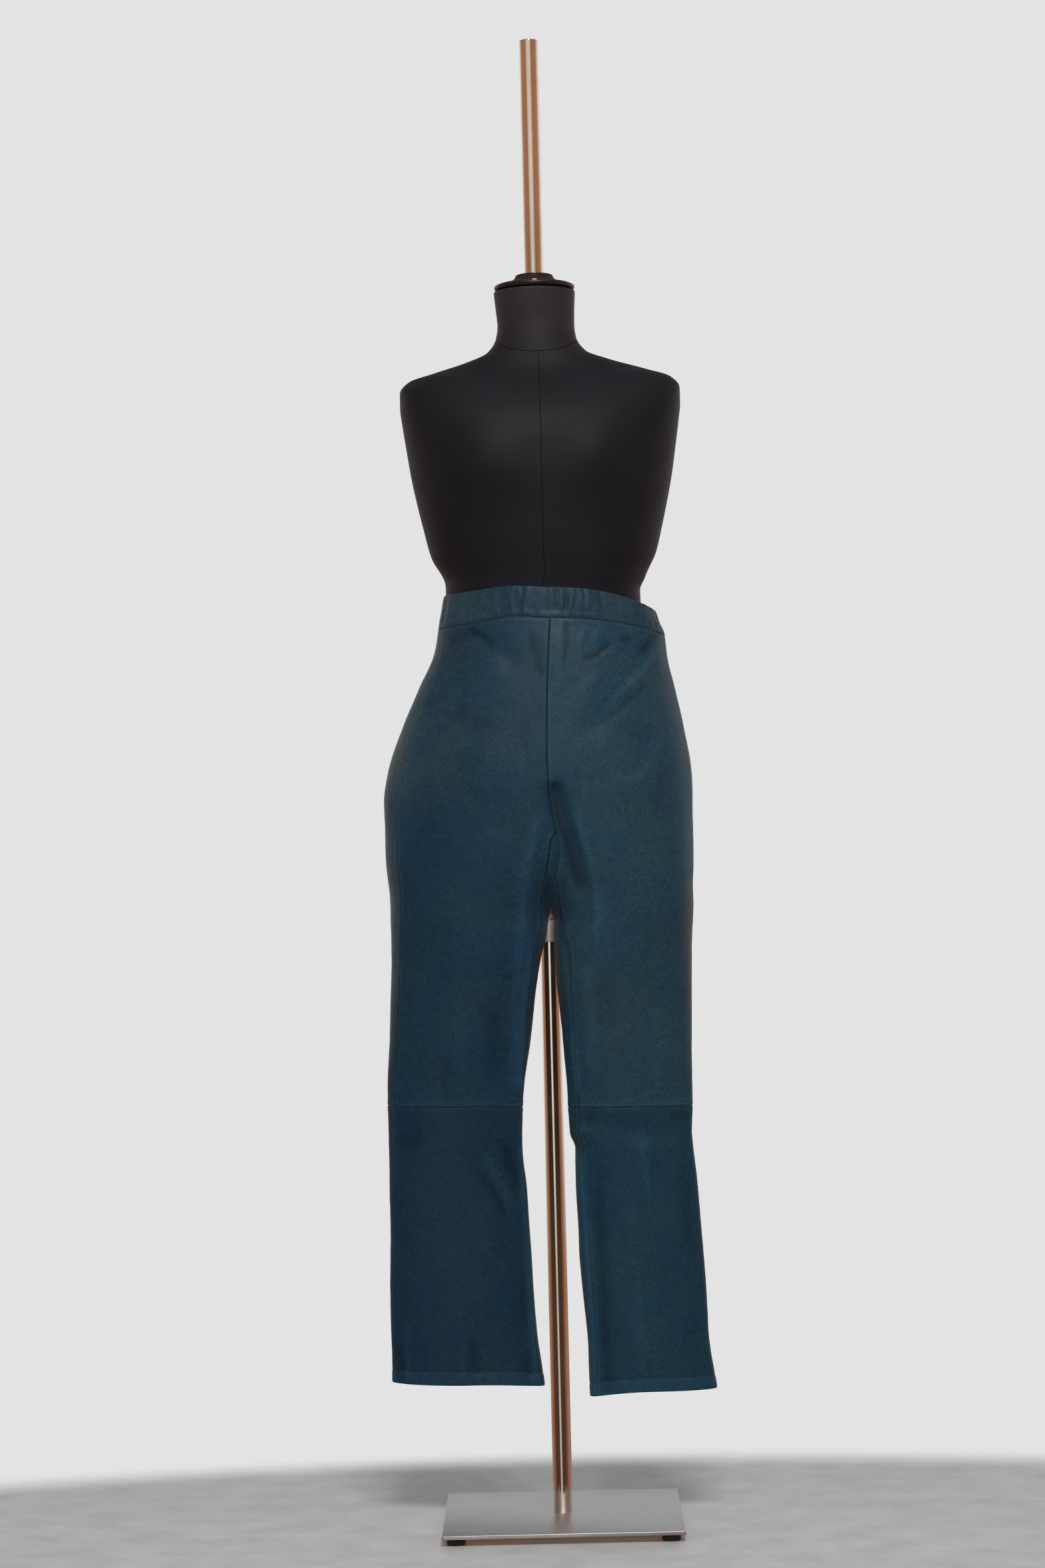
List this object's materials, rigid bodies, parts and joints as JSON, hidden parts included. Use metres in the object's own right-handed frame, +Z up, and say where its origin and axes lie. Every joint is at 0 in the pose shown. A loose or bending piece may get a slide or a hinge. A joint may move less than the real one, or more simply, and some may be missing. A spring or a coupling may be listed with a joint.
{
  "type": "leather trousers on dress form stand",
  "caption": "Pull-on leather trousers with a gathered elastic waistband and panelled, kick-flared legs, shown on a limbless dress form that turns and slides on a steel pole over a square base.",
  "frame": {"origin": "on the floor at the axis of the stand's pole, which is also the middle of the feet's square", "axes": "+Z up along the pole; the garment's front faces -Y; the wearer's left leg is at +X"},
  "size_m": [0.4249, 0.31, 1.955],
  "materials": {
    "leather": "dark teal fine-grained nappa leather, soft sheen",
    "jersey": "black jersey stretched over a padded form",
    "cap": "very dark brown gloss lacquer",
    "polished_steel": "polished tube",
    "light_metal": "satin turned",
    "brushed_steel": "satin brushed plate",
    "rubber": "matte black"
  },
  "bodies": {
    "stand": {"base_plate": "brushed_steel", "foot_1": "rubber", "foot_2": "rubber", "foot_3": "rubber", "foot_4": "rubber", "pole": "polished_steel"},
    "collar": {"height_collar": "light_metal"},
    "form": {"form_socket": "light_metal", "socket_screw": "light_metal", "form_torso": "jersey", "neck_cap": "cap", "waistband_front": "leather", "waistband_back": "leather", "right_front_thigh": "leather", "right_front_shin": "leather", "right_back_thigh": "leather", "right_back_shin": "leather", "left_front_thigh": "leather", "left_front_shin": "leather", "left_back_thigh": "leather", "left_back_shin": "leather"}
  },
  "joints": [
    {"name": "collar_slide", "type": "slide", "parent": "stand", "child": "collar", "axis": [0, 0, 1], "range_m": [-0.14, 0.25]},
    {"name": "form_swivel", "type": "hinge", "parent": "collar", "child": "form", "pos_m": [0, 0, 0.7905], "axis": [0, 0, 1], "continuous": true}
  ]
}
